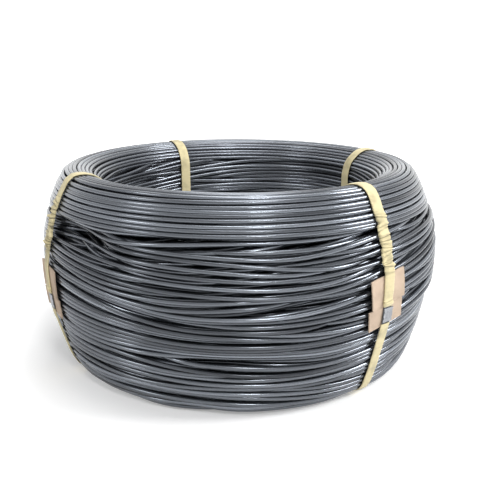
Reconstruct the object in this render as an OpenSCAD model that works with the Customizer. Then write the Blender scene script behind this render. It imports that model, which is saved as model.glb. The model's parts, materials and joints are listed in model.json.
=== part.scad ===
// Coil of wire rod standing on its end, tied by four sleeved steel straps over cardboard pads.
// The coil's axis is Z and it stands on z = 0. Sizes are in millimetres.
// Each strap lies in a plane through the axis, at an azimuth counted from +X towards +Y.

/* [Coil] */
// Clear bore through the coil
bore_d = 850; // [500:10:1000]
// Build of the coil from its bore to its widest outside, over the wire
coil_build = 200; // [160:5:300]
// Height of the coil as it stands
coil_h = 609; // [540:1:800]
// Height at which the coil is widest
widest_h = 355; // [300:5:440]
// Width of the flat of the top end, between the bore's mouth and the shoulder
top_flat_w = 10; // [5:1:60]
// Width of the flat of the bottom end, between the bore's mouth and the shoulder
bottom_flat_w = 59; // [20:1:90]
// Rounding of the top outer shoulder
top_shoulder_r = 40; // [30:1:90]
// Rounding of the bottom outer shoulder
bottom_shoulder_r = 65; // [30:1:80]
// Rounding of the bore's top mouth
top_mouth_r = 89; // [20:1:110]
// Rounding of the bore's bottom mouth
bottom_mouth_r = 25; // [15:1:60]

/* [Wire] */
// Diameter of the wire rod
wire_d = 13; // [8:0.5:16]
// How far neighbouring turns nest into each other on the coil's skin
turn_lap = 0.4; // [0.2:0.1:1]

/* [Straps] */
// Width of the steel band
strap_w = 32; // [19:1:40]
// Thickness of the steel band
strap_t = 0.9; // [0.6:0.1:1.5]
// Wall of the cloth sleeve on the band
sleeve_wall = 1.2; // [0.6:0.1:2]
// Room between the band and its sleeve
sleeve_play = 0.3; // [0.2:0.1:1]
// Length of band that the sleeve leaves bare at the seal
bare_len = 54; // [46:1:90]
// How far the strap runs on past the pads before it bends in to the turns
strap_lead = 30; // [26:1:50]
// Length over which the strap comes down from the pads to the turns
strap_ramp = 60; // [30:1:100]
// Azimuth of the front right strap
front_right_az = 309; // [290:1:325]
// Azimuth of the back right strap
back_right_az = 28; // [15:1:60]
// Azimuth of the back left strap
back_left_az = 118; // [100:1:150]
// Azimuth of the front left strap
front_left_az = 208; // [190:1:235]
// How much lower the front left strap's seal and pads sit than the others'
front_left_drop = 33; // [0:1:40]

/* [Seals] */
// Height of the seal's middle, but for the front left strap
seal_mid_h = 274; // [255:1:290]
// Length of the seal along the strap
seal_len = 40; // [30:1:45]
// Thickness of the seal's sheet
seal_wall = 1.2; // [0.8:0.1:2]
// Room between the seal and the band
seal_play = 0.4; // [0.3:0.1:0.8]

/* [Pads] */
// Thickness of the cardboard
pad_t = 4; // [2:0.5:8]
// Height of the lower pad's bottom edge, but for the front left strap
lower_pad_z = 240; // [200:1:248]
// Height of the lower pad
lower_pad_h = 58; // [50:1:100]
// Width of the lower pad round the coil
lower_pad_w = 131; // [80:1:160]
// Height of the upper pad
upper_pad_h = 84; // [50:1:110]
// Width of the upper pad round the coil
upper_pad_w = 131; // [80:1:160]
// Gap between the two pads
pad_gap = 2; // [1:0.5:6]
// How far the pads are off the strap's middle, round the coil
pad_shift = 2; // [-25:1:25]

/* [Fits] */
// Gap where one piece lies on another
seat_gap = 0.4; // [0.3:0.1:0.6]
// Gap between the strap and the crests of the turns
crest_gap = 0.5; // [0.5:0.1:1]
// How far the strap lies back from the clear bore
bore_recess = 0.3; // [0.2:0.1:2]

/* [Hidden] */
$fn = 96;
mouth_steps = 6;
shoulder_steps = 8;
side_steps = 24;
pad_steps = 6;
crest_angles = [-48, -16, 16, 48];
cut_margin = 20;

bore_r = bore_d / 2;
coil_r = bore_r + coil_build;
wire_r = wire_d / 2;
turn_pitch = wire_d - turn_lap;
upper_pad_z = lower_pad_z + lower_pad_h + pad_gap;
pads_top = upper_pad_z + upper_pad_h;
sleeve_t = strap_t + 2 * (sleeve_play + sleeve_wall);
sleeve_w = strap_w + 2 * (sleeve_play + sleeve_wall);
band_depth = sleeve_wall + sleeve_play;

STRAPS = [
    ["front_right", front_right_az, 0],
    ["back_right", back_right_az, 0],
    ["back_left", back_left_az, 0],
    ["front_left", front_left_az, front_left_drop],
];
PIECES = ["strap_band", "strap_sleeve", "strap_seal", "pad_upper", "pad_lower"];

// Radius of the barrel's curve from the widest point to a shoulder, whose centre lies
// inset from the widest radius and rise away from the widest height
function barrel_radius(inset, rise, shoulder_r) =
    (inset * inset + rise * rise - shoulder_r * shoulder_r) / (2 * (inset - shoulder_r));

upper_r = barrel_radius(coil_build - top_mouth_r - top_flat_w,
    coil_h - top_shoulder_r - widest_h, top_shoulder_r);
lower_r = barrel_radius(coil_build - bottom_mouth_r - bottom_flat_w,
    widest_h - bottom_shoulder_r, bottom_shoulder_r);

// How far the band bows over the seal's length, and the depth of the seal from its back to the band
band_bow = seal_len * seal_len / (8 * min(lower_r, upper_r));
seal_depth = seal_wall + seal_play + band_bow;
// How much further out the strap lies over the pads than over the turns
pad_stand = seat_gap + pad_t + seat_gap + max(band_depth, seal_depth) - band_depth - crest_gap;

// A point of the coil's side at height z, moved out square to the side by off
function side_point(z, off) =
    let (r = z < widest_h ? lower_r : upper_r, a = side_angle(z))
    [coil_r - r, widest_h] + (r + off) * [cos(a), sin(a)];

// How far the side's outward direction is tipped up at height z
function side_angle(z) = asin((z - widest_h) / (z < widest_h ? lower_r : upper_r));

// Centre of a shoulder at this height, reach away from the centre of the barrel's curve of radius r
function shoulder_centre(r, reach, height) =
    [coil_r - r + sqrt(reach * reach - (height - widest_h) * (height - widest_h)), height];

function arc(centre, r, from, to, steps) =
    [for (i = [0:steps]) let (a = from + (to - from) * i / steps) centre + r * [cos(a), sin(a)]];

// Share of the pads' stand-off that the strap has at height z, with the pads lower by drop
function stand_share(z, drop) =
    let (past = max(lower_pad_z - drop - strap_lead - z, z - pads_top + drop - strap_lead, 0))
    max(0, 1 - past / strap_ramp);

// The coil's half section as a closed outline, from the bore's bottom mouth round the outside to
// its top mouth, moved out by so much at the side, top, bore and bottom, with its corners grown
function section_outline(side, top, bore, bottom, grow, stand = 0, drop = 0) =
    let (
        low_r = bottom_shoulder_r + grow,
        high_r = top_shoulder_r + grow,
        low_mouth = bottom_mouth_r + grow,
        high_mouth = top_mouth_r + grow,
        low_reach = lower_r + side - low_r,
        high_reach = upper_r + side - high_r,
        low_centre = shoulder_centre(lower_r, low_reach, low_r - bottom),
        high_centre = shoulder_centre(upper_r, high_reach, coil_h + top - high_r),
        low_angle = asin((low_centre.y - widest_h) / low_reach),
        high_angle = asin((high_centre.y - widest_h) / high_reach),
        low_z = widest_h + lower_r * sin(low_angle),
        high_z = widest_h + upper_r * sin(high_angle),
        wall_x = bore_r - bore
    )
    concat(
        arc([wall_x + low_mouth, low_mouth - bottom], low_mouth, 180, 270, mouth_steps),
        arc(low_centre, low_r, -90, low_angle, shoulder_steps),
        [for (i = [1:side_steps - 1])
            let (z = low_z + (high_z - low_z) * i / side_steps)
            side_point(z, side + stand * stand_share(z, drop))],
        arc(high_centre, high_r, high_angle, 90, shoulder_steps),
        arc([wall_x + high_mouth, coil_h + top - high_mouth], high_mouth, 90, 180, mouth_steps)
    );

// The line that the middles of the outermost turns lie on, and the distance run along it
skin = section_outline(-wire_r, -wire_r, -wire_r, -wire_r, -wire_r);
function skin_run(i) = i == 0 ? 0 : skin_run(i - 1) + norm(skin[i] - skin[i - 1]);
skin_x = [for (i = [0:len(skin) - 1]) [skin_run(i), skin[i].x]];
skin_z = [for (i = [0:len(skin) - 1]) [skin_run(i), skin[i].y]];
skin_len = skin_run(len(skin) - 1);
turn_count = round(skin_len / turn_pitch);

// Middle of a turn, the direction to the next one, and the direction out of the coil there
function turn_centre(i) =
    let (run = skin_len * i / turn_count) [lookup(run, skin_x), lookup(run, skin_z)];
function turn_along(i) =
    let (step = turn_centre(i + 1) - turn_centre(i - 1)) step / norm(step);
function outward(along) = [along.y, -along.x];

// The exposed round of a turn, and the groove between it and the next
function turn_crest(i) =
    let (along = turn_along(i))
    [for (a = crest_angles) turn_centre(i) + wire_r * (cos(a) * outward(along) + sin(a) * along)];
function turn_groove(i) =
    let (
        step = turn_centre(i + 1) - turn_centre(i),
        half = norm(step) / 2,
        height = sqrt(max(wire_r * wire_r - half * half, 0))
    )
    turn_centre(i) + step / 2 + height * outward(step / norm(step));

coil_profile = concat(
    [for (i = [1:turn_count - 1])
        each concat(turn_crest(i), i < turn_count - 1 ? [turn_groove(i)] : [])],
    [[bore_r, coil_h - top_mouth_r], [bore_r, bottom_mouth_r]]
);

// Outline of a layer of the strap, this far out from the sleeve's face against the coil, which
// stands off over pads that are lower by drop
function strap_layer(depth, stand, drop) =
    section_outline(crest_gap + depth, crest_gap + depth, depth - sleeve_t - bore_recess,
        depth - sleeve_t, depth, stand, drop);

module upright(width) {
    rotate([90, 0, 0]) linear_extrude(width, center = true) children();
}

// A closed hoop round the coil's section, between two layers of the strap
module hoop(inner, outer, width, drop) {
    upright(width) difference() {
        polygon(strap_layer(outer, pad_stand, drop));
        polygon(strap_layer(inner, pad_stand, drop));
    }
}

// Room that the strap pulls into the turns of the bore and the bottom end
module strap_channel() {
    upright(sleeve_w + 2 * seat_gap) difference() {
        translate([bore_r - cut_margin, -cut_margin])
            square([coil_r - bore_r + 2 * cut_margin, coil_h + 2 * cut_margin]);
        polygon(strap_layer(-seat_gap, 0, 0));
    }
}

module wire_coil() {
    color([0.33, 0.35, 0.39]) difference() {
        rotate_extrude() polygon(coil_profile);
        for (strap = STRAPS) rotate([0, 0, strap[1]]) strap_channel();
    }
}

module strap_band(drop) {
    color([0.55, 0.57, 0.6]) hoop(band_depth, band_depth + strap_t, strap_w, drop);
}

module strap_sleeve(drop) {
    bare_z = seal_mid_h - drop;
    color([0.92, 0.86, 0.64]) difference() {
        hoop(0, sleeve_t, sleeve_w, drop);
        hoop(sleeve_wall, sleeve_t - sleeve_wall, strap_w + 2 * sleeve_play, drop);
        translate([side_point(bare_z, 0).x - cut_margin, -sleeve_w, bare_z - bare_len / 2])
            cube([2 * cut_margin + sleeve_t + pad_stand, 2 * sleeve_w, bare_len]);
    }
}

// A sheet steel clip closed round the band, with room for its bow
module strap_seal(drop) {
    seal_z = seal_mid_h - drop;
    slot = [strap_t + band_bow + 2 * seal_play, strap_w + 2 * seal_play, seal_len + cut_margin];
    slot_mid = side_point(seal_z, crest_gap + pad_stand + band_depth + (strap_t - band_bow) / 2);
    color([0.62, 0.63, 0.66])
        translate([slot_mid.x, 0, slot_mid.y]) rotate([0, -side_angle(seal_z), 0]) difference() {
            cube([slot.x + 2 * seal_wall, slot.y + 2 * seal_wall, seal_len], center = true);
            cube(slot, center = true);
        }
}

// A sheet of cardboard bent round the coil's side between two heights
module pad(bottom_z, top_z, width) {
    degrees_per_mm = 180 / (PI * coil_r);
    heights = [for (i = [0:pad_steps]) bottom_z + (top_z - bottom_z) * i / pad_steps];
    inner_face = [for (z = heights) side_point(z, seat_gap)];
    outer_face = [for (i = [pad_steps:-1:0]) side_point(heights[i], seat_gap + pad_t)];
    color([0.8, 0.69, 0.57])
        rotate([0, 0, (pad_shift - width / 2) * degrees_per_mm])
            rotate_extrude(angle = width * degrees_per_mm) polygon(concat(inner_face, outer_face));
}

module pad_upper(drop) {
    pad(upper_pad_z - drop, pads_top - drop, upper_pad_w);
}

module pad_lower(drop) {
    pad(lower_pad_z - drop, lower_pad_z + lower_pad_h - drop, lower_pad_w);
}

wire_coil();
for (strap = STRAPS) rotate([0, 0, strap[1]]) {
    strap_band(strap[2]);
    strap_sleeve(strap[2]);
    strap_seal(strap[2]);
    pad_upper(strap[2]);
    pad_lower(strap[2]);
}
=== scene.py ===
"""Looks of a strapped coil of wire rod, built in metres around the packed solids.

The wire is one long path: turns laid one on another from the floor up, each swinging between the
bore and the outside of the coil. The straps are pulled round the wire as it lies.
"""
import json
import math

import bpy
import numpy as np
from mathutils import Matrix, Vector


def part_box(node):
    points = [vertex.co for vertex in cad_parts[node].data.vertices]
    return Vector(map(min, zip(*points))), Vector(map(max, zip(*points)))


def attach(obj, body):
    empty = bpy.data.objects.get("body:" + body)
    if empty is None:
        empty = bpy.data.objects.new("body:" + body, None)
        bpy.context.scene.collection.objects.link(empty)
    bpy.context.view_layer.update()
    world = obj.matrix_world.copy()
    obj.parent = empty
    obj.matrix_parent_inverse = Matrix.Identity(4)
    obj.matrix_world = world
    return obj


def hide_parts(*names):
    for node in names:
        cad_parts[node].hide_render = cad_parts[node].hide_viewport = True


bl_info = {
    "name": "Coil of wire rod",
    "version": (1, 0, 0),
    "blender": (4, 5, 0),
    "location": "View3D > Sidebar > Wire coil",
    "description": "Winds the wire of a strapped coil and dresses its straps, seals and pads",
    "category": "Object",
}

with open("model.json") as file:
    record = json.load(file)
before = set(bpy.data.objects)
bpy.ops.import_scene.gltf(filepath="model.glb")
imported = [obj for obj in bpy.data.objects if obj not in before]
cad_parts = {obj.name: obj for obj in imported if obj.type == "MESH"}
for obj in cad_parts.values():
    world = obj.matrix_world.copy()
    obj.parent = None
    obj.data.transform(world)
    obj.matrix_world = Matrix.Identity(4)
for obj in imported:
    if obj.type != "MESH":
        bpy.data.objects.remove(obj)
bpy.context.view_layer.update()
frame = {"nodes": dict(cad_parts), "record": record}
BODY = "root"
COIL_NODE = "wire_coil"
PLACES = ("front_right", "back_right", "back_left", "front_left")
BORE_RADIUS = next(m for m in frame["record"]["mounts"] if m["name"] == "bore")["dims"]["r_mm"] / 1000


def node_azimuth(node):
    """Azimuth of a node's middle about the coil's axis, from +X towards +Y, in radians."""
    low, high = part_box(node)
    return math.atan2(low.y + high.y, low.x + high.x)


def node_heights(node):
    """Lowest and highest point of a node."""
    low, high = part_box(node)
    return low.z, high.z


class CoilSizes(bpy.types.PropertyGroup):
    """Outline of the coil's half section, over the wire"""

    bore: bpy.props.FloatProperty(
        name="Bore radius", description="Radius of the clear bore", default=BORE_RADIUS, unit="LENGTH")
    outside: bpy.props.FloatProperty(
        name="Outside radius", description="Largest radius over the wire", default=0.625, unit="LENGTH")
    height: bpy.props.FloatProperty(
        name="Height", description="Height over the wire", default=0.609, unit="LENGTH")
    widest: bpy.props.FloatProperty(
        name="Widest height", description="Height at which the coil is widest", default=0.355, unit="LENGTH")
    top_flat: bpy.props.FloatProperty(
        name="Top flat", description="Width of the top end's flat", default=0.010, unit="LENGTH")
    bottom_flat: bpy.props.FloatProperty(
        name="Bottom flat", description="Width of the bottom end's flat", default=0.059, unit="LENGTH")
    top_shoulder: bpy.props.FloatProperty(
        name="Top shoulder", description="Rounding of the top shoulder", default=0.040, unit="LENGTH")
    bottom_shoulder: bpy.props.FloatProperty(
        name="Bottom shoulder", description="Rounding of the bottom shoulder", default=0.065, unit="LENGTH")
    top_mouth: bpy.props.FloatProperty(
        name="Top mouth", description="Rounding of the bore's top mouth", default=0.089, unit="LENGTH")
    bottom_mouth: bpy.props.FloatProperty(
        name="Bottom mouth", description="Rounding of the bore's bottom mouth", default=0.025, unit="LENGTH")
    cap_from: bpy.props.FloatProperty(
        name="Cap's side", description="Height from which neat turns cover the side", default=0.492,
        unit="LENGTH")
    cap_to: bpy.props.FloatProperty(
        name="Cap's mouth", description="Height down to which neat turns line the mouth", default=0.548,
        unit="LENGTH")
    fan: bpy.props.FloatProperty(
        name="Fan", description="How far turns are drawn down beside the front left strap",
        default=0.055, unit="LENGTH")
    hollow: bpy.props.FloatProperty(
        name="Hollow", description="Depth of the hollow beside the front left strap", default=0.080,
        unit="LENGTH")


class WireSizes(bpy.types.PropertyGroup):
    """The wire and the way it is laid"""

    diameter: bpy.props.FloatProperty(
        name="Diameter", description="Diameter of the wire", default=0.013, unit="LENGTH")
    stations: bpy.props.IntProperty(
        name="Stations", description="Points along one turn, an even number", default=112)
    sides: bpy.props.IntProperty(
        name="Sides", description="Faces round the wire", default=8)
    advance: bpy.props.FloatProperty(
        name="Advance", description="How far the swing moves on with each turn",
        default=math.radians(9), subtype="ANGLE")
    stray: bpy.props.FloatProperty(
        name="Stray", description="How unevenly the swing moves on",
        default=math.radians(7), subtype="ANGLE")
    seed: bpy.props.IntProperty(
        name="Seed", description="Start of the random draws", default=7)
    colour: bpy.props.FloatVectorProperty(
        name="Colour", description="Drawn and phosphated steel", default=(0.118, 0.128, 0.144), size=3,
        subtype="COLOR")
    # The dark colour is painted shade, not scale and dirt: some turns along the wire are painted darker at
    # random, to stand in for the shade between the turns.
    painted_shade_colour: bpy.props.FloatVectorProperty(
        name="Dark colour", description="Scale and dirt on the steel", default=(0.044, 0.048, 0.055), size=3,
        subtype="COLOR")


class StrapSizes(bpy.types.PropertyGroup):
    """Bands, sleeves and seals"""

    band_width: bpy.props.FloatProperty(
        name="Band width", description="Width of the steel band", default=0.032, unit="LENGTH")
    band_thickness: bpy.props.FloatProperty(
        name="Band thickness", description="Thickness of the steel band", default=0.0009, unit="LENGTH")
    sleeve_wall: bpy.props.FloatProperty(
        name="Sleeve wall", description="Depth of cloth under and over the band", default=0.0015,
        unit="LENGTH")
    bare: bpy.props.FloatProperty(
        name="Bare length", description="Band left bare at the seal", default=0.050, unit="LENGTH")
    seal_length: bpy.props.FloatProperty(
        name="Seal length", description="Length of the seal along the band", default=0.040, unit="LENGTH")
    cloth_colour: bpy.props.FloatVectorProperty(
        name="Cloth colour", description="Cream cloth", default=(0.62, 0.54, 0.315), size=3, subtype="COLOR")
    steel_colour: bpy.props.FloatVectorProperty(
        name="Band colour", description="Blued strapping steel", default=(0.10, 0.104, 0.118), size=3,
        subtype="COLOR")
    seal_colour: bpy.props.FloatVectorProperty(
        name="Seal colour", description="Dull zinc", default=(0.30, 0.31, 0.33), size=3, subtype="COLOR")


class PadSizes(bpy.types.PropertyGroup):
    """Cardboard pads"""

    thickness: bpy.props.FloatProperty(
        name="Thickness", description="Thickness of the board", default=0.004, unit="LENGTH")
    colour: bpy.props.FloatVectorProperty(
        name="Colour", description="Brown board", default=(0.53, 0.41, 0.31), size=3, subtype="COLOR")


class StageSizes(bpy.types.PropertyGroup):
    """Camera, floor and lamps"""

    distance: bpy.props.FloatProperty(
        name="Distance", description="Camera's distance from the coil's axis", default=2.196, unit="LENGTH")
    eye: bpy.props.FloatProperty(
        name="Eye height", description="Camera's height over the floor", default=0.962, unit="LENGTH")
    pitch: bpy.props.FloatProperty(
        name="Pitch", description="How far the camera looks down",
        default=math.radians(16.17), subtype="ANGLE")
    yaw: bpy.props.FloatProperty(
        name="Yaw", description="How far the camera looks to the right",
        default=math.radians(0.50), subtype="ANGLE")
    lens: bpy.props.FloatProperty(
        name="Lens", description="Focal length on a 36 mm sensor, in millimetres", default=50.4,
        unit="CAMERA")
    floor_colour: bpy.props.FloatVectorProperty(
        name="Floor colour", description="Pale studio floor", default=(0.86, 0.86, 0.86), size=3,
        subtype="COLOR")


def barrel_radius(inset, rise, shoulder):
    """Radius of the curve from the widest point to a shoulder whose centre lies inset and rise from it."""
    return (inset ** 2 + rise ** 2 - shoulder ** 2) / (2 * (inset - shoulder))


def half_chord(radius, offset):
    """Half the chord of a circle at an offset from its centre, and nought outside the circle."""
    return np.sqrt(np.clip(radius ** 2 - offset ** 2, 0, None))


def outer_limit(coil, z, inset):
    """Radius of the coil's side at height z, less an inset: an arc with a rounded shoulder at each end."""
    build = coil.outside - coil.bore
    upper = barrel_radius(build - coil.top_mouth - coil.top_flat,
                          coil.height - coil.top_shoulder - coil.widest, coil.top_shoulder)
    lower = barrel_radius(build - coil.bottom_mouth - coil.bottom_flat,
                          coil.widest - coil.bottom_shoulder, coil.bottom_shoulder)
    barrel = np.where(z < coil.widest, lower, upper)
    side = coil.outside - barrel + half_chord(barrel - inset, z - coil.widest)
    top_z = coil.height - coil.top_shoulder
    top_sine = (top_z - coil.widest) / (upper - coil.top_shoulder)
    top_radius = coil.top_shoulder - inset
    top = coil.bore + coil.top_mouth + coil.top_flat + half_chord(top_radius, z - top_z)
    low_sine = (coil.widest - coil.bottom_shoulder) / (lower - coil.bottom_shoulder)
    low_radius = coil.bottom_shoulder - inset
    low = coil.bore + coil.bottom_mouth + coil.bottom_flat + half_chord(low_radius, z - coil.bottom_shoulder)
    limit = np.where(z > top_z + top_radius * top_sine, top, side)
    return np.where(z < coil.bottom_shoulder - low_radius * low_sine, low, limit)


def inner_limit(coil, z, inset):
    """Radius of the bore at height z, plus an inset: a straight wall with a rounded mouth at each end."""
    top_z = coil.height - coil.top_mouth
    top = coil.bore + coil.top_mouth - half_chord(coil.top_mouth - inset, z - top_z)
    low = coil.bore + coil.bottom_mouth - half_chord(coil.bottom_mouth - inset, z - coil.bottom_mouth)
    limit = np.where(z > top_z, top, coil.bore + inset)
    return np.where(z < coil.bottom_mouth, low, limit)


def drift(rng, count, span):
    """A smooth random line of unit spread: white noise run through a round window of this span."""
    window = np.hanning(2 * span + 1)
    noise = rng.normal(size=count + 2 * span)
    line = np.convolve(noise, window / np.sqrt((window ** 2).sum()), mode="valid")
    return line[:count]


def core_walls(coil, wire, z):
    """Inner and outer radius for the core's wires at height z.

    They lie half a wire under the coil's outline, and a whole one more where the cap's wires cover them.
    """
    room = 0.008
    inner_cover = np.clip((z - coil.cap_to) / room + 0.5, 0, 1)
    outer_cover = np.clip((z - coil.cap_from) / room + 0.5, 0, 1)
    inner = inner_limit(coil, z, wire.diameter * (0.5 + inner_cover))
    outer = outer_limit(coil, z, wire.diameter * (0.5 + outer_cover))
    return inner, outer


def swing_of_turn(start, end, stations):
    """Place of a turn across the section, from -1 at the bore to 1 outside.

    The turn swings from the bore to the outside and back as an eccentric ring does. Its phase, reach and
    lean run evenly from start to end, and the swing is flattened where it would pass the two walls.
    """
    run = np.arange(stations) / stations
    change = end - start
    phase, reach, lean = (start[..., k, None] + change[..., k, None] * run for k in range(3))
    swing = reach * np.cos(2 * math.pi * run - phase) + lean
    return swing / (1 + np.abs(swing) ** 5) ** 0.2


def resting_height(wire, radius, slope, laid_radius, laid_slope, laid_height):
    """Height at which a wire rests on the laid wires at each station; wires that cross bed in deeper."""
    aside = np.abs(radius[..., None, :] - laid_radius)
    crossing = np.minimum(np.abs(slope[..., None, :] - laid_slope) / 0.004, 1)
    near = wire.diameter * (0.97 - 0.35 * crossing)
    lift = np.where(aside < near, laid_height + half_chord(near, aside), 0)
    return np.maximum(lift.max(axis=-2), wire.diameter / 2)


def draped(rest, span):
    """Height of a stiff wire over its rests: the largest of them, less a droop by the distance squared."""
    droop = 0.0005 * np.arange(-span, span + 1) ** 2
    return (np.lib.stride_tricks.sliding_window_view(rest, 2 * span + 1, axis=-1) - droop).max(axis=-1)


def lay_core(coil, wire, rng):
    """Place across the section and height of the core's turns, station by station.

    For every turn a number of ways on from the last one are tried, some with a leap of the phase, and
    the one that lies lowest on the turns below is laid.
    """
    stations, half = wire.stations, wire.diameter / 2
    tries, span, depth, most = 48, 12, 70, 520
    place, radius, slope, rest, height = (np.zeros((most, stations)) for _ in range(5))
    last = np.array([0.0, 1.5, 0.0])
    for i in range(most):
        level = height[max(i - 9, 0):i].mean() + half / 2 if i > 2 else half
        if level > coil.height - 3.4 * half:
            break
        leap = rng.uniform(math.radians(50), math.radians(310), tries)
        step = rng.normal(wire.advance, wire.stray, tries)
        ways = np.stack([
            last[0] + np.where(rng.random(tries) < 0.5, leap, step),
            np.clip(last[1] + rng.normal(0, 0.3, tries), 0.7, 2.3),
            np.clip(0.7 * last[2] + rng.normal(0, 0.22, tries), -0.6, 0.6)], axis=1)
        swing = swing_of_turn(np.broadcast_to(last, ways.shape), ways, stations)
        inner, outer = core_walls(coil, wire, np.array(level))
        way_radius = inner + (outer - inner) * (0.5 + 0.5 * swing)
        way_slope = np.gradient(way_radius, axis=1)
        way_rest = np.full(way_radius.shape, half)
        if i:
            laid = slice(max(i - depth, 0), i)
            way_rest = resting_height(wire, way_radius, way_slope, radius[laid], slope[laid], height[laid])
        around = np.concatenate([way_rest[:, -span:], way_rest, way_rest[:, :span]], axis=1)
        way_height = draped(around, span)
        veer = np.abs((ways[:, 0] - last[0] + math.pi) % (2 * math.pi) - math.pi)
        cost = way_height.mean(axis=1) + 0.6 * way_height.max(axis=1) + 0.3 * wire.diameter * veer / math.pi
        best = cost.argmin()
        place[i], radius[i], slope[i] = swing[best], way_radius[best], way_slope[best]
        rest[i], height[i] = way_rest[best], way_height[best]
        if i:
            height[i, :span] = draped(np.concatenate([rest[i - 1, -span:], rest[i, :2 * span]]), span)
            height[i - 1, -span:] = draped(np.concatenate([rest[i - 1, -2 * span:], rest[i, :span]]), span)
        last = ways[best]
    else:
        raise RuntimeError(f"the core is not full after {most} turns")
    return place[:i].ravel(), height[:i].ravel()


def eased(line, passes):
    """A line smoothed along its run by a short window, with its ends kept."""
    for _ in range(passes):
        padded = np.concatenate([line[:1], line[:1], line, line[-1:], line[-1:]])
        line = np.convolve(padded, np.array([1, 2, 3, 2, 1]) / 9, mode="valid")
    return line


def bell(value, middle, spread):
    """A bell that is 1 at the middle and falls off on both sides."""
    return np.exp(-((value - middle) / spread) ** 2)


def smooth_step(value, low, high):
    """A smooth step from 0 at low to 1 at high."""
    share = np.clip((value - low) / (high - low), 0, 1)
    return share * share * (3 - 2 * share)


def past_left_strap(azimuth):
    """How far an azimuth is past the front left strap, in degrees from -180 to 180."""
    aside = azimuth - node_azimuth("strap_band_front_left")
    return np.degrees((aside + math.pi) % (2 * math.pi) - math.pi)


def fanned(coil, azimuth, height, place):
    """Heights with the turns under the cap drawn down right of the front left strap, outer ones most."""
    past = past_left_strap(azimuth)
    fall = smooth_step(past, 0, 55) * smooth_step(past, 150, 70)
    share = np.interp(height, [0.03, coil.cap_from - 0.075, coil.cap_from + 0.01], [0, 1, 0])
    return height - coil.fan * fall * share * (0.7 + 0.3 * place)


def hollowed(coil, azimuth, height, depth):
    """How far turns lie back in the hollow under the cap beside the front left strap.

    Turns near the outside, by their depth, dive in at the strap and come out again to its right.
    """
    past = past_left_strap(azimuth)
    along = smooth_step(past, -2, 7) * smooth_step(past, 36, 11)
    return coil.hollow * along * bell(height, coil.cap_from - 0.028, 0.024) * bell(depth, 0, 0.08)


def bulged(azimuth, height, depth):
    """How far the turns near the outside, by their depth, stand out on the right between the straps.

    The middle ones stand out in a thick bundle, and those below it and close under the cap lie back.
    """
    aside = np.degrees((azimuth + math.pi) % (2 * math.pi) - math.pi)
    along = smooth_step(aside, -46, -28) * smooth_step(aside, 22, 4)
    bundle = smooth_step(height, 0.245, 0.272) * smooth_step(height, 0.488, 0.470)
    return along * (0.012 * bundle - 0.004) * bell(depth, 0, 0.08)


def room_outward(radius, height, limit, reach):
    """Room that each wire of a station has on its way out: to the next wire in its path or to the limit."""
    rank = radius + 1e-5 * np.arange(len(radius))[:, None]
    across = np.abs(height[:, None] - height[None])
    ahead = (rank[None] > rank[:, None]) & (across < reach)
    gap = radius[None] - half_chord(reach, across) - radius[:, None]
    return np.minimum(np.where(ahead, gap, np.inf).min(axis=1), limit - radius)


def settled(wire, radius, height, inner, outer):
    """Radii with the turns near either wall let out into the gaps before them, and eased out of each other.

    Springy turns press on both walls. Each pass finds every wire's room on its way to the nearer wall,
    evens it out along the wire, and moves the wire by a share of it.
    """
    shape = (-1, wire.stations)
    height = height.reshape(shape).astype(np.float32)
    low, high = inner.reshape(shape), outer.reshape(shape)
    reach = 0.96 * wire.diameter
    for _ in range(12):
        rows = radius.reshape(shape).astype(np.float32)
        move = np.zeros_like(rows)
        for i in range(0, wire.stations, 8):
            part = np.s_[:, i:i + 8]
            out = room_outward(rows[part], height[part], high[part], reach)
            back = room_outward(-rows[part], height[part], -low[part], reach)
            share = (rows[part] - low[part]) / (high[part] - low[part])
            move[part] = (np.clip(out, -0.004, 0.02) * np.clip(3 * share - 1.4, 0, 1)
                          - np.clip(back, -0.004, 0.02) * np.clip(1.6 - 3 * share, 0, 1))
        radius = radius + 0.7 * eased(move.ravel(), 2)
    return radius


def cap_line(coil, wire):
    """Line of the cap's wires on the section, from the side over the crest to the bore's mouth."""
    half = wire.diameter / 2
    z = coil.height - half - (coil.height - half - coil.cap_from) * np.linspace(1, 0, 300) ** 2
    side = np.stack([outer_limit(coil, z, half), z], axis=1)
    drop = (coil.cap_to - coil.height + coil.top_mouth) / (coil.top_mouth - half)
    turn = np.linspace(math.pi / 2, math.pi - math.asin(drop), 100)
    mouth = np.stack([coil.bore + coil.top_mouth + (coil.top_mouth - half) * np.cos(turn),
                      coil.height - coil.top_mouth + (coil.top_mouth - half) * np.sin(turn)], axis=1)
    line = np.concatenate([side, mouth])
    run = np.concatenate([[0], np.cumsum(np.linalg.norm(np.diff(line, axis=0), axis=1))])
    return line, run


def lay_cap(coil, wire, rng):
    """Radius and height of the neat turns of the cap, side by side from the side to the bore's mouth."""
    line, run = cap_line(coil, wire)
    turns = run[-1] / (0.985 * wire.diameter)
    count = int(turns * wire.stations)
    at = np.linspace(0, run[-1], count) + 0.0012 * drift(rng, count, wire.stations // 3)
    sink = 0.0012 * np.abs(drift(rng, count, wire.stations // 4))
    return np.interp(at, run, line[:, 0]), np.interp(at, run, line[:, 1]) - sink


def pull_of_straps(azimuth):
    """How much of a strap's pull is felt at an azimuth: flat under the strap, fading on both sides."""
    pull = np.zeros_like(azimuth)
    for place in PLACES:
        aside = azimuth - node_azimuth(f"strap_band_{place}")
        aside = (aside + math.pi) % (2 * math.pi) - math.pi
        pull = np.maximum(pull, np.exp(-(aside / math.radians(5.5)) ** 4))
    return pull


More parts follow.
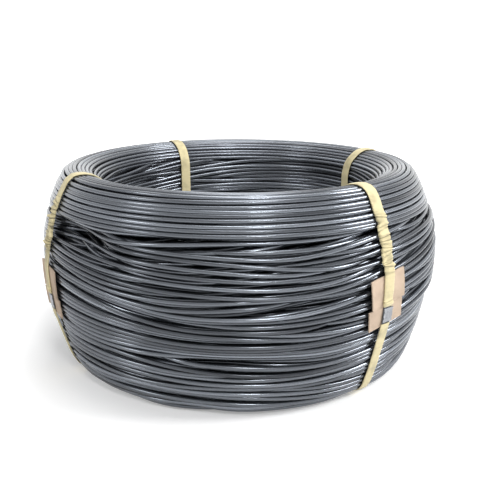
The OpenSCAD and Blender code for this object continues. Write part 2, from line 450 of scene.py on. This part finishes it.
def wind_wire(coil, wire):
    """Azimuth, radius and height of the whole wire, station by station.

    The core is laid, evened to the coil's height, fanned and settled against both walls, then set back in
    the hollow and out in the bundle. The cap goes on from the core's last station, and the straps pull the
    wire in, less so the deeper it lies.
    """
    rng = np.random.default_rng(wire.seed)
    half = wire.diameter / 2
    place, height = lay_core(coil, wire, rng)
    height = eased(height, 4)
    tops = height.reshape(-1, wire.stations).max(axis=0)
    tops = eased(np.tile(tops, 3), 30)[wire.stations:2 * wire.stations]
    turns = len(height) // wire.stations
    highest = coil.height - 3 * half
    height = half + (height - half) * (highest - half) / (np.tile(tops, turns) - half)
    azimuth = 2 * math.pi * np.arange(len(height)) / wire.stations
    laid = height
    height = np.clip(fanned(coil, azimuth, height, place), half, highest)
    inner, outer = core_walls(coil, wire, height)
    waver = 0.0007 * drift(rng, len(height), wire.stations // 8)
    radius = inner + (outer - inner) * (0.5 + 0.5 * place) + waver
    radius = settled(wire, radius, height, inner, outer)
    depth = outer - radius
    radius = radius - hollowed(coil, azimuth, laid, depth) + bulged(azimuth, height, depth)

    cap_radius, cap_height = lay_cap(coil, wire, rng)
    end = round(wire.stations * node_azimuth("strap_band_back_left") / (2 * math.pi))
    spare = (len(radius) + len(cap_radius) - 1 - end) % wire.stations
    cap_radius, cap_height = cap_radius[:-spare or None], cap_height[:-spare or None]
    ease = np.clip(np.arange(len(cap_radius)) / wire.stations, 0, 1)
    ease = ease * ease * (3 - 2 * ease)
    cap_radius = radius[-1] + (cap_radius - radius[-1]) * ease
    cap_height = height[-1] + (cap_height - height[-1]) * ease
    radius = np.concatenate([radius, cap_radius])
    height = np.concatenate([height, cap_height])
    azimuth = 2 * math.pi * np.arange(len(height)) / wire.stations

    pull = pull_of_straps(azimuth)
    inner = inner_limit(coil, height, half)
    outer = outer_limit(coil, height, half)
    fade = 0.03
    radius = radius + 0.0046 * pull * np.exp(-np.clip(radius - inner, 0, None) / fade)
    radius = radius - 0.0020 * pull * np.exp(-np.clip(outer - radius, 0, None) / fade)
    height = height + 0.0064 * pull * np.exp(-(height - half) / fade)
    height = height - 0.0010 * pull * np.exp(-(coil.height - half - height) / fade)
    return azimuth, eased(radius, 1), eased(height, 1)


def new_piece(name, points, faces, material, replaced, smooth=True):
    """A mesh object from whole arrays, riding on the coil and standing for CAD nodes."""
    mesh = bpy.data.meshes.new(name)
    mesh.vertices.add(len(points))
    mesh.vertices.foreach_set("co", np.ascontiguousarray(points, np.float32).ravel())
    corners = np.concatenate([np.ravel(part) for part in faces]).astype(np.int32)
    sizes = np.concatenate([np.full(len(part), np.shape(part)[1]) for part in faces]).astype(np.int32)
    mesh.loops.add(len(corners))
    mesh.loops.foreach_set("vertex_index", corners)
    mesh.polygons.add(len(sizes))
    mesh.polygons.foreach_set("loop_start", np.concatenate([[0], np.cumsum(sizes)[:-1]]).astype(np.int32))
    mesh.polygons.foreach_set("use_smooth", np.full(len(sizes), smooth))
    mesh.update(calc_edges=True)
    mesh.validate()
    piece = bpy.data.objects.new(name, mesh)
    bpy.context.scene.collection.objects.link(piece)
    mesh.materials.append(material)
    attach(piece, BODY)
    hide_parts(*replaced)
    return piece


def tube_faces(rings, sides):
    """Quads of a closed tube of rings, and its two end caps."""
    ring = np.arange(rings - 1)[:, None] * sides
    side = np.arange(sides)[None, :]
    after = (side + 1) % sides
    quads = np.stack([ring + side, ring + after, ring + sides + after, ring + sides + side], axis=-1)
    caps = np.stack([np.arange(sides)[::-1], np.arange(sides) + (rings - 1) * sides])
    return [quads.reshape(-1, 4), caps]


def hoop_faces(rings, sides):
    """Quads of a ring of rings, closed both ways."""
    ring = np.arange(rings)[:, None] * sides
    after_ring = (np.arange(rings)[:, None] + 1) % rings * sides
    side = np.arange(sides)[None, :]
    after = (side + 1) % sides
    quads = np.stack([ring + side, ring + after, after_ring + after, after_ring + side], axis=-1)
    return [quads.reshape(-1, 4)]


def wire_skin(azimuth, radius, height, half, sides):
    """Points of the wire's round skin: at each station a circle in the upright plane through the axis."""
    turn = 2 * math.pi * np.arange(sides) / sides
    out = radius[:, None] + half * np.cos(turn)
    up = height[:, None] + half * np.sin(turn)
    points = [out * np.cos(azimuth)[:, None], out * np.sin(azimuth)[:, None], up]
    return np.stack(points, axis=-1).reshape(-1, 3)


def node_input(tree, kind, **values):
    """A shader node with these inputs set by name."""
    node = tree.nodes.new(kind)
    for name, value in values.items():
        node.inputs[name.replace("_", " ")].default_value = value
    return node


def new_material(name, **principled):
    """A material with its tree, its Principled node and its Object coordinates."""
    material = bpy.data.materials.new(name)
    material.use_nodes = True
    tree = material.node_tree
    shader = tree.nodes["Principled BSDF"]
    for key, value in principled.items():
        shader.inputs[key.replace("_", " ")].default_value = value
    coordinates = tree.nodes.new("ShaderNodeTexCoord")
    return material, tree, shader, coordinates.outputs["Object"]


def colour_ramp(tree, factor, stops):
    """A ramp from factor to colour, with stops of (place, colour)."""
    ramp = tree.nodes.new("ShaderNodeValToRGB")
    elements = ramp.color_ramp.elements
    while len(elements) < len(stops):
        elements.new(0.5)
    for element, (place, colour) in zip(elements, stops):
        element.position = place
        element.color = (*colour, 1)
    tree.links.new(factor, ramp.inputs["Fac"])
    return ramp.outputs["Color"]


def noise(tree, vector, scale, detail=3.0, stretch=None):
    """Noise on a coordinate, stretched first where a stretch is given."""
    if stretch:
        mapping = tree.nodes.new("ShaderNodeMapping")
        mapping.inputs["Scale"].default_value = stretch
        tree.links.new(vector, mapping.inputs["Vector"])
        vector = mapping.outputs["Vector"]
    texture = node_input(tree, "ShaderNodeTexNoise", Scale=scale, Detail=detail)
    tree.links.new(vector, texture.inputs["Vector"])
    return texture.outputs["Fac"]


def remapped(tree, value, low, high):
    """A value from 0 to 1 carried over to low to high."""
    node = node_input(tree, "ShaderNodeMapRange", To_Min=low, To_Max=high)
    tree.links.new(value, node.inputs["Value"])
    return node.outputs["Result"]


def bumped(tree, shader, value, strength, distance):
    """Bump from a value on the shader's normal."""
    bump = node_input(tree, "ShaderNodeBump", Strength=strength, Distance=distance)
    tree.links.new(value, bump.inputs["Height"])
    tree.links.new(bump.outputs["Normal"], shader.inputs["Normal"])


def wire_steel(wire):
    """Dark drawn steel: painted shade and painted light that change at random from turn to turn, fine draw
    streaks and a half gloss.
    """
    material, tree, shader, place = new_material("drawn_wire_steel", Metallic=0.78)
    lay = tree.nodes.new("ShaderNodeAttribute")
    lay.attribute_name = "lay"
    shade = tree.nodes.new("ShaderNodeTexNoise")
    shade.noise_dimensions = "1D"
    shade.inputs["Scale"].default_value = 2.3
    shade.inputs["Detail"].default_value = 3.0
    tree.links.new(lay.outputs["Fac"], shade.inputs["W"])
    # Painted light and painted shade: along the wire, turns are painted up to 1.9 times lighter and down to
    # the dark colour at random, to stand in for highlights and shade between the turns.
    painted_light = tuple(1.9 * c for c in wire.colour)
    stops = [(0.28, wire.painted_shade_colour), (0.5, wire.colour), (0.78, painted_light)]
    tree.links.new(colour_ramp(tree, shade.outputs["Fac"], stops), shader.inputs["Base Color"])
    fine = noise(tree, place, 320.0, 2.0)
    tree.links.new(remapped(tree, fine, 0.16, 0.25), shader.inputs["Roughness"])
    bumped(tree, shader, fine, 0.03, 0.0006)
    return material


def sleeve_cloth(strap):
    """Cream cloth: a fine weave, soft stains, painted shade in the folds and a matt sheen."""
    material, tree, shader, place = new_material("cream_sleeve_cloth", Roughness=0.85, Sheen_Weight=0.2)
    stain = noise(tree, place, 26.0, 4.0)
    dark = tuple(0.72 * c for c in strap.cloth_colour)
    clean = colour_ramp(tree, stain, [(0.30, dark), (0.52, strap.cloth_colour)])
    fold = tree.nodes.new("ShaderNodeAttribute")
    fold.attribute_name = "fold"
    # Painted shade: by the fold mask, the cloth is painted darker, down to 0.22 of its colour, where its
    # folds lie in shade.
    painted_fold_shade = tree.nodes.new("ShaderNodeMixRGB")
    painted_fold_shade.inputs["Color2"].default_value = (*(0.22 * c for c in strap.cloth_colour), 1)
    tree.links.new(fold.outputs["Fac"], painted_fold_shade.inputs["Fac"])
    tree.links.new(clean, painted_fold_shade.inputs["Color1"])
    tree.links.new(painted_fold_shade.outputs["Color"], shader.inputs["Base Color"])
    weave = noise(tree, place, 900.0, 1.0)
    bumped(tree, shader, weave, 0.35, 0.0006)
    return material


def strap_steel(name, colour):
    """Cold-rolled strip: rolling streaks along the height and dull spots."""
    material, tree, shader, place = new_material(name, Metallic=0.9)
    streak = noise(tree, place, 60.0, 3.0, stretch=(6, 6, 0.4))
    dark = tuple(0.6 * c for c in colour)
    tree.links.new(colour_ramp(tree, streak, [(0.3, dark), (0.6, colour)]), shader.inputs["Base Color"])
    tree.links.new(remapped(tree, streak, 0.28, 0.5), shader.inputs["Roughness"])
    return material


def pad_board(pad):
    """Brown board: faint flutes, mottled fibre and a matt face."""
    material, tree, shader, place = new_material("brown_pad_board", Roughness=0.92)
    fibre = noise(tree, place, 240.0, 4.0, stretch=(1, 1, 0.25))
    blotch = noise(tree, place, 22.0, 3.0)
    dark = tuple(0.8 * c for c in pad.colour)
    tree.links.new(colour_ramp(tree, blotch, [(0.3, dark), (0.6, pad.colour)]), shader.inputs["Base Color"])
    bumped(tree, shader, fibre, 0.25, 0.0008)
    return material


WOUND = {}


class COIL_OT_wind_wire(bpy.types.Operator):
    """Lay the wire turn by turn and give it its round skin"""

    bl_idname = "coil.wind_wire"
    bl_label = "Wind the wire"

    def execute(self, context):
        coil = context.scene.coil_sizes
        wire = context.scene.wire_sizes
        azimuth, radius, height = wind_wire(coil, wire)
        WOUND.update(azimuth=azimuth, radius=radius, height=height)
        half = wire.diameter / 2
        material = wire_steel(wire)
        most = 190000 // (2 * wire.sides)
        parts = math.ceil(len(azimuth) / most)
        ends = np.linspace(0, len(azimuth) - 1, parts + 1).astype(int)
        for i in range(parts):
            run = slice(ends[i], ends[i + 1] + 1)
            skin = wire_skin(azimuth[run], radius[run], height[run], half, wire.sides)
            faces = tube_faces(ends[i + 1] + 1 - ends[i], wire.sides)
            piece = new_piece(f"wire_length_{i + 1}", skin, faces, material, [COIL_NODE])
            lay = piece.data.attributes.new("lay", "FLOAT", "POINT")
            turns = np.repeat(azimuth[run] / (2 * math.pi), wire.sides)
            lay.data.foreach_set("value", np.ascontiguousarray(turns, np.float32))
        return {"FINISHED"}


def strap_line(scene, place, count):
    """Points and outward directions of a strap's inner face in its own upright plane, with the run.

    The strap is pulled tight, so it follows the convex hull of the round wires, and of the pads' outer
    face, in its plane: for each direction the furthest wire, plus the wire's radius that way.
    """
    if not WOUND:
        raise RuntimeError("the wire has to be wound before the straps are fitted")
    coil = scene.coil_sizes
    half = scene.wire_sizes.diameter / 2
    azimuth = node_azimuth(f"strap_band_{place}")
    aside = (WOUND["azimuth"] - azimuth + math.pi) % (2 * math.pi) - math.pi
    close = np.abs(aside) < math.radians(2.6)
    discs = np.stack([WOUND["radius"][close], WOUND["height"][close]], axis=1)
    low = node_heights(f"pad_lower_{place}")[0]
    high = node_heights(f"pad_upper_{place}")[1]
    pad_z = np.linspace(low, high, 24)
    pad_face = outer_limit(coil, pad_z, 0) + 0.0013 + scene.pad_sizes.thickness
    discs = np.concatenate([discs, np.stack([pad_face - half, pad_z], axis=1)])
    turn = np.linspace(0, 2 * math.pi, 1441)[:-1]
    ways = np.stack([np.cos(turn), np.sin(turn)], axis=1)
    furthest = discs[np.argmax(discs @ ways.T, axis=0)]
    line = furthest + (half + 0.0004) * ways
    seal_low, seal_high = node_heights(f"strap_seal_{place}")
    outside = line[:, 0] > coil.bore + 0.6 * (coil.outside - coil.bore)
    start = np.argmin(np.where(outside, np.abs(line[:, 1] - (seal_low + seal_high) / 2), np.inf))
    line = np.roll(line, -start, axis=0)
    ways = np.roll(ways, -start, axis=0)
    closed = np.concatenate([line, line[:1]])
    run = np.concatenate([[0], np.cumsum(np.linalg.norm(np.diff(closed, axis=0), axis=1))])
    at = np.linspace(0, run[-1], count, endpoint=False)
    ways = np.concatenate([ways, ways[:1]])
    even = np.stack([np.interp(at, run, closed[:, k]) for k in range(2)], axis=1)
    out = np.stack([np.interp(at, run, ways[:, k]) for k in range(2)], axis=1)
    out /= np.linalg.norm(out, axis=1, keepdims=True)
    return azimuth, even, out, at


def in_strap_plane(azimuth, plane, across):
    """Points in the row frame from points (radius, height) in a strap's plane and distances across it."""
    out = np.array([math.cos(azimuth), math.sin(azimuth), 0])
    side = np.array([-math.sin(azimuth), math.cos(azimuth), 0])
    return plane[..., :1] * out + plane[..., 1:] * np.array([0, 0, 1.0]) + across[..., None] * side


class COIL_OT_fit_bands(bpy.types.Operator):
    """Pull the steel bands round the coil's section"""

    bl_idname = "coil.fit_bands"
    bl_label = "Fit the bands"

    def execute(self, context):
        scene = context.scene
        strap = scene.strap_sizes
        material = strap_steel("strapping_steel", strap.steel_colour)
        low, high = strap.sleeve_wall, strap.sleeve_wall + strap.band_thickness
        half = strap.band_width / 2
        across = np.array([-half, half, half, -half])
        depth = np.array([low, low, high, high])
        for place in PLACES:
            azimuth, line, out, _ = strap_line(scene, place, 360)
            plane = line[:, None, :] + depth[None, :, None] * out[:, None, :]
            points = in_strap_plane(azimuth, plane, np.broadcast_to(across, plane.shape[:2]))
            new_piece(f"steel_band_{place}", points.reshape(-1, 3), hoop_faces(len(line), 4), material,
                      [f"strap_band_{place}"], smooth=False)
        return {"FINISHED"}


def sleeve_faces(rings, sides):
    """Quads of a tube with a wall: rings of an outer loop and an inner loop, joined at both ends."""
    ring = np.arange(rings - 1)[:, None] * 2 * sides
    side = np.arange(sides)[None, :]
    after = (side + 1) % sides
    step = 2 * sides
    outer = np.stack([ring + side, ring + after, ring + step + after, ring + step + side], axis=-1)
    inner = (outer + sides)[..., ::-1]
    first = np.stack([side[0], side[0] + sides, after[0] + sides, after[0]], axis=-1)
    last = first[:, ::-1] + (rings - 1) * step
    return [outer.reshape(-1, 4), inner.reshape(-1, 4), first, last]


def sleeve_skin(coil, strap, line, out, run, strength, rng):
    """Points of a cloth sleeve on a strap's line, in depth and width, gathered below the coil's shoulder.

    The section is a flattened ring. Where the cloth is gathered, its outer side is a row of puffs with
    sharp folds between them, the size of a sine wave whose phase drifts along the strap and across it.
    """
    sides, count = 20, 520
    spacing = run[1] - run[0]
    outside = np.clip((line[:, 0] - coil.bore) / 0.10 - 0.4, 0, 1)
    up = line[:, 1]
    bunch = np.clip((up - 0.375) / 0.03, 0, 1) * np.clip((0.555 - up) / 0.03, 0, 1)
    gather = outside * np.clip((up - 0.03) / 0.03, 0, 1) * (0.14 + strength * bunch)
    gather = gather + 0.8 * bell(run - run[0], 0.010, 0.010)
    wander = drift(rng, len(run), max(int(0.020 / spacing), 2))
    tilt = drift(rng, len(run), max(int(0.012 / spacing), 2))
    size = np.clip(1 + 0.45 * drift(rng, len(run), max(int(0.009 / spacing), 2)), 0.2, 2)
    density = np.cumsum(0.20 + gather)
    pick = np.searchsorted(density, np.linspace(density[0], density[-1], count))
    line, out, run, gather = line[pick], out[pick], run[pick], gather[pick]
    broad = 1 + 0.10 * smooth_step(line[:, 1], 0.28, 0.36) * outside[pick]
    wander, tilt, size = wander[pick], tilt[pick], size[pick]
    turn = 2 * math.pi * np.arange(sides) / sides
    flat = np.sign(np.cos(turn)) * np.abs(np.cos(turn)) ** 0.45
    swell = np.sign(np.sin(turn)) * np.abs(np.sin(turn)) ** 0.6
    phase = math.pi * run / 0.0125 + 1.1 * wander
    puff = np.abs(np.sin(phase[:, None] + 0.9 * tilt[:, None] * flat)) ** 0.6
    loose = gather[:, None] * size[:, None] * (0.0007 + 0.0042 * puff)
    thick = strap.sleeve_wall + strap.band_thickness / 2
    half_width = strap.band_width / 2 + 0.0016
    loops = []
    for wall in (0.0, 0.0007):
        above = thick - wall + loose
        depth = thick + np.where(swell > 0, above * swell, (thick - wall) * swell)
        width = half_width * broad[:, None] - wall + 0.0022 * gather[:, None] * size[:, None] * (puff - 0.45)
        across = width * flat + 0.0016 * (gather * tilt)[:, None]
        loops.append(np.stack(np.broadcast_arrays(depth, across), axis=-1))
    skin = np.concatenate(loops, axis=1)
    plane = line[:, None, :] + skin[..., :1] * out[:, None, :]
    closed = np.concatenate([loops[0], loops[0][:, :1]], axis=1)
    around = np.linalg.norm(np.diff(closed, axis=1), axis=2).sum(axis=1)
    flat_size = (float(around.mean()), float(1.06 * (run[-1] - run[0])))
    # Mask for the painted shade in the folds: strongest where the cloth is gathered, between the puffs.
    fold = np.clip(gather[:, None] * (1 - puff / 0.6), 0, 1)
    return plane, skin[..., 1], flat_size, np.concatenate([fold, fold], axis=1)


class COIL_OT_fit_sleeves(bpy.types.Operator):
    """Draw the cloth sleeves over the bands, gathered on the coil's upper side"""

    bl_idname = "coil.fit_sleeves"
    bl_label = "Fit the sleeves"

    def execute(self, context):
        scene = context.scene
        strap = scene.strap_sizes
        material = sleeve_cloth(strap)
        rng = np.random.default_rng(21)
        for place, strength in zip(PLACES, (1.0, 0.7, 0.6, 1.2)):
            azimuth, line, out, run = strap_line(scene, place, 2400)
            total = run[-1] + run[1]
            keep = (run > strap.bare / 2) & (run < total - strap.bare / 2)
            plane, across, flat, fold = sleeve_skin(
                scene.coil_sizes, strap, line[keep], out[keep], run[keep], strength, rng)
            points = in_strap_plane(azimuth, plane, across)
            faces = sleeve_faces(len(fold), fold.shape[1] // 2)
            sleeve = new_piece(f"cloth_sleeve_{place}", points.reshape(-1, 3), faces, material,
                               [f"strap_sleeve_{place}"])
            # The fold mask, by which the cloth is painted darker as shade in its folds.
            creases = sleeve.data.attributes.new("fold", "FLOAT", "POINT")
            creases.data.foreach_set("value", np.ascontiguousarray(fold, np.float32).ravel())
        return {"FINISHED"}


def seal_skin(strap, line, out, run):
    """Points of a seal on a strap's line, in the strap's plane and across it.

    The section is a rounded rectangle, a circle with its sine and cosine raised to a quarter. Two bells
    along the seal draw its width in and swell its depth, and both ends flare a little.
    """
    sides, rings = 24, 61
    turn = 2 * math.pi * (np.arange(sides) + 0.5) / sides
    along = np.linspace(-0.5, 0.5, rings)
    notch = bell(np.abs(along), 0.22, 0.055)
    flare = np.clip((np.abs(along) - 0.42) / 0.08, 0, 1)
    total = run[-1] + run[1]
    at = (along * strap.seal_length) % total
    middle = np.stack([np.interp(at, run, line[:, k], period=total) for k in range(2)], axis=1)
    facing = np.stack([np.interp(at, run, out[:, k], period=total) for k in range(2)], axis=1)
    width = strap.band_width / 2 + 0.0018 - 0.0030 * notch + 0.0008 * flare
    thick = 0.0016 + 0.0010 * notch + 0.0008 * flare
    flat = np.sign(np.cos(turn)) * np.abs(np.cos(turn)) ** 0.25
    bulge = np.sign(np.sin(turn)) * np.abs(np.sin(turn)) ** 0.25
    depth = strap.sleeve_wall + strap.band_thickness / 2 + 0.0010 + thick[:, None] * bulge
    return middle[:, None, :] + depth[..., None] * facing[:, None, :], width[:, None] * flat + 0.004


class COIL_OT_close_seals(bpy.types.Operator):
    """Fold the steel seals round the bands and crimp their edges"""

    bl_idname = "coil.close_seals"
    bl_label = "Close the seals"

    def execute(self, context):
        scene = context.scene
        strap = scene.strap_sizes
        material = strap_steel("seal_steel", strap.seal_colour)
        for place in PLACES:
            azimuth, line, out, run = strap_line(scene, place, 1100)
            plane, across = seal_skin(strap, line, out, run)
            points = in_strap_plane(azimuth, plane, across)
            new_piece(f"crimped_seal_{place}", points.reshape(-1, 3), tube_faces(*across.shape), material,
                      [f"strap_seal_{place}"])
        return {"FINISHED"}


def pad_sheet(coil, pad, node, tilt, rng):
    """Points and faces of a sheet of board bent round the coil's side, turned by a tilt in its own face.

    The sheet is a grid along the arc and up the side: its inner face lies on the coil's side, its outer
    face stands one thickness off, and its upright edges lift off a little.
    """
    low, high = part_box(node)
    middle = node_azimuth(node)
    vertices = frame["nodes"][node].data.vertices
    corners = np.empty(3 * len(vertices), np.float32)
    vertices.foreach_get("co", corners)
    corners = corners.astype(float).reshape(-1, 3)
    aside = (np.arctan2(corners[:, 1], corners[:, 0]) - middle + math.pi) % (2 * math.pi) - math.pi
    columns, rows = 33, 25
    u = np.linspace(-1, 1, columns)[None, :]
    v = np.linspace(-1, 1, rows)[:, None]
    arc = coil.outside * (aside.max() - aside.min()) / 2 * u
    rise = (high.z - low.z) / 2 * v
    along = arc * math.cos(tilt) - rise * math.sin(tilt)
    z = (high.z + low.z) / 2 + arc * math.sin(tilt) + rise * math.cos(tilt)
    lift = np.abs(u) ** 5 * np.where(u < 0, rng.uniform(0.002, 0.006), rng.uniform(0.001, 0.004))
    wave = 0.0005 * np.sin(7 * v + rng.uniform(0, 6)) * np.cos(4 * u + rng.uniform(0, 6))
    base = outer_limit(coil, z, 0) + 0.0008 + lift + np.abs(wave)
    turn = middle + along / coil.outside
    layers = []
    for depth in (0.0, pad.thickness):
        out = base + depth
        layers.append(np.stack([out * np.cos(turn), out * np.sin(turn), z], axis=-1).reshape(-1, 3))
    grid = np.arange(rows * columns).reshape(rows, columns)
    quad = np.stack([grid[:-1, :-1], grid[:-1, 1:], grid[1:, 1:], grid[1:, :-1]], axis=-1).reshape(-1, 4)
    rim = np.concatenate([grid[0, :-1], grid[:-1, -1], grid[-1, :0:-1], grid[:0:-1, 0]])
    after = np.roll(rim, -1)
    top = rows * columns
    edge = np.stack([rim, after, after + top, rim + top], axis=-1)
    return np.concatenate(layers), [quad[:, ::-1], quad + top, edge]


class COIL_OT_bend_pads(bpy.types.Operator):
    """Bend the cardboard pads round the coil under the straps"""

    bl_idname = "coil.bend_pads"
    bl_label = "Bend the pads"

    def execute(self, context):
        scene = context.scene
        material = pad_board(scene.pad_sizes)
        rng = np.random.default_rng(5)
        for place, degrees in zip(PLACES, (8, -3, 2, -4)):
            for row in ("upper", "lower"):
                node = f"pad_{row}_{place}"
                points, faces = pad_sheet(
                    scene.coil_sizes, scene.pad_sizes, node, math.radians(degrees), rng)
                new_piece(f"board_{row}_{place}", points, faces, material, [node], smooth=False)
        return {"FINISHED"}


def floor_sweep(depth, wall, bend, width):
    """Points and faces of a floor that curves up into a back wall: its profile carried across the width."""
    arc = np.linspace(0, math.pi / 2, 25)
    y = np.concatenate([[-depth], wall - bend + bend * np.sin(arc), [wall]])
    z = np.concatenate([[0], bend - bend * np.cos(arc), [2 * width]])
    x = np.linspace(-width, width, 3)
    points = np.stack([np.broadcast_to(x, (len(y), 3)), np.broadcast_to(y[:, None], (len(y), 3)),
                       np.broadcast_to(z[:, None], (len(y), 3))], axis=-1).reshape(-1, 3)
    grid = np.arange(len(points)).reshape(len(y), 3)
    quads = np.stack([grid[:-1, :-1], grid[:-1, 1:], grid[1:, 1:], grid[1:, :-1]], axis=-1).reshape(-1, 4)
    return points, quads


def joined(tree, operation, first, second):
    """Two values joined by a sum, a product or the like."""
    node = tree.nodes.new("ShaderNodeMath")
    node.operation = operation
    tree.links.new(first, node.inputs[0])
    tree.links.new(second, node.inputs[1])
    return node.outputs["Value"]


def seen_or_mirrored(tree):
    """1 for rays from the eye, from a glossy surface or through a clear one, and 0 for the rest."""
    rays = tree.nodes.new("ShaderNodeLightPath").outputs
    seen = joined(tree, "MAXIMUM", rays["Is Camera Ray"], rays["Is Glossy Ray"])
    return joined(tree, "MAXIMUM", seen, rays["Is Transmission Ray"])


def pale_floor(stage):
    """Pale floor that glows to the eye: faintly by the coil, where its shadow lies, and white further."""
    material, tree, shader, place = new_material("pale_floor", Roughness=0.7)
    speck = noise(tree, place, 3.0, 2.0)
    pale = tuple(stage.floor_colour)
    colour = colour_ramp(tree, speck, [(0.0, tuple(0.98 * c for c in pale)), (1.0, pale)])
    tree.links.new(colour, shader.inputs["Base Color"])
    far = tree.nodes.new("ShaderNodeVectorMath")
    far.operation = "LENGTH"
    tree.links.new(place, far.inputs[0])
    glow = node_input(tree, "ShaderNodeMapRange", From_Min=0.7, From_Max=2.6, To_Min=0.30, To_Max=1.0)
    tree.links.new(far.outputs["Value"], glow.inputs["Value"])
    strength = joined(tree, "MULTIPLY", seen_or_mirrored(tree), glow.outputs["Result"])
    shader.inputs["Emission Color"].default_value = (1, 1, 1, 1)
    tree.links.new(strength, shader.inputs["Emission Strength"])
    return material


def studio_world():
    """A world that is white to the eye and in the steel, and lights the rest at a low level."""
    world = bpy.data.worlds.new("studio")
    world.use_nodes = True
    tree = world.node_tree
    background = tree.nodes["Background"]
    background.inputs["Color"].default_value = (1, 1, 1, 1)
    strength = remapped(tree, seen_or_mirrored(tree), 0.23, 1.0)
    tree.links.new(strength, background.inputs["Strength"])
    return world


def soft_lamp(name, place, target, size, power):
    """A square lamp at a place, turned to a target."""
    data = bpy.data.lights.new(name, "AREA")
    data.size = size
    data.energy = power
    lamp = bpy.data.objects.new(name, data)
    bpy.context.scene.collection.objects.link(lamp)
    lamp.location = place
    away = np.array(place) - np.array(target)
    flat = math.hypot(away[0], away[1])
    lamp.rotation_euler = (math.atan2(flat, away[2]), 0, math.atan2(away[0], -away[1]))


class COIL_OT_set_stage(bpy.types.Operator):
    """Set the floor, the lamps, the world and the camera"""

    bl_idname = "coil.set_stage"
    bl_label = "Set the stage"

    def execute(self, context):
        scene = context.scene
        stage = scene.stage_sizes
        points, quads = floor_sweep(8, 6, 3, 12)
        mesh = bpy.data.meshes.new("studio_floor")
        mesh.from_pydata(points.tolist(), [], quads.tolist())
        mesh.polygons.foreach_set("use_smooth", np.full(len(quads), True))
        floor = bpy.data.objects.new("studio_floor", mesh)
        scene.collection.objects.link(floor)
        mesh.materials.append(pale_floor(stage))

        scene.world = studio_world()
        middle = (0, 0, 0.35)
        soft_lamp("overhead", (0.2, -0.5, 3.6), middle, 1.6, 56)
        soft_lamp("right", (3.4, -0.8, 2.4), middle, 1.4, 130)
        soft_lamp("left", (-3.4, -2.0, 2.4), middle, 1.2, 36)
        soft_lamp("back", (0, 2.6, 4.2), middle, 2.0, 50)
        soft_lamp("front", (0.7, -3.2, 2.7), middle, 0.7, 44)

        data = bpy.data.cameras.new("camera")
        data.lens = stage.lens
        data.sensor_width = 36
        camera = bpy.data.objects.new("camera", data)
        scene.collection.objects.link(camera)
        camera.location = (0, -stage.distance, stage.eye)
        camera.rotation_euler = (math.pi / 2 - stage.pitch, 0, -stage.yaw)
        scene.camera = camera
        scene.view_settings.view_transform = "Standard"
        return {"FINISHED"}


class COIL_PT_panel(bpy.types.Panel):
    """Lists the coil's steps and sizes"""

    bl_idname = "COIL_PT_panel"
    bl_label = "Wire coil"
    bl_space_type = "VIEW_3D"
    bl_region_type = "UI"
    bl_category = "Wire coil"

    def draw(self, context):
        layout = self.layout
        for operator in OPERATORS:
            layout.operator(operator.bl_idname)
        for name, group in GROUPS.items():
            box = layout.box()
            box.label(text=group.__doc__)
            for size in group.__annotations__:
                box.prop(getattr(context.scene, name), size)


GROUPS = {
    "coil_sizes": CoilSizes,
    "wire_sizes": WireSizes,
    "strap_sizes": StrapSizes,
    "pad_sizes": PadSizes,
    "stage_sizes": StageSizes,
}
OPERATORS = (
    COIL_OT_wind_wire,
    COIL_OT_fit_bands,
    COIL_OT_fit_sleeves,
    COIL_OT_close_seals,
    COIL_OT_bend_pads,
    COIL_OT_set_stage,
)


def register():
    """Register the groups of sizes, the operators and the panel."""
    for name, group in GROUPS.items():
        bpy.utils.register_class(group)
        setattr(bpy.types.Scene, name, bpy.props.PointerProperty(type=group))
    for cls in (*OPERATORS, COIL_PT_panel):
        bpy.utils.register_class(cls)


def unregister():
    """Take back what register added."""
    for cls in (COIL_PT_panel, *reversed(OPERATORS)):
        bpy.utils.unregister_class(cls)
    for name, group in GROUPS.items():
        delattr(bpy.types.Scene, name)
        bpy.utils.unregister_class(group)


def main():
    register()
    bpy.ops.coil.wind_wire()
    bpy.ops.coil.fit_bands()
    bpy.ops.coil.fit_sleeves()
    bpy.ops.coil.close_seals()
    bpy.ops.coil.bend_pads()
    bpy.ops.coil.set_stage()


if __name__ == "__main__":
    main()
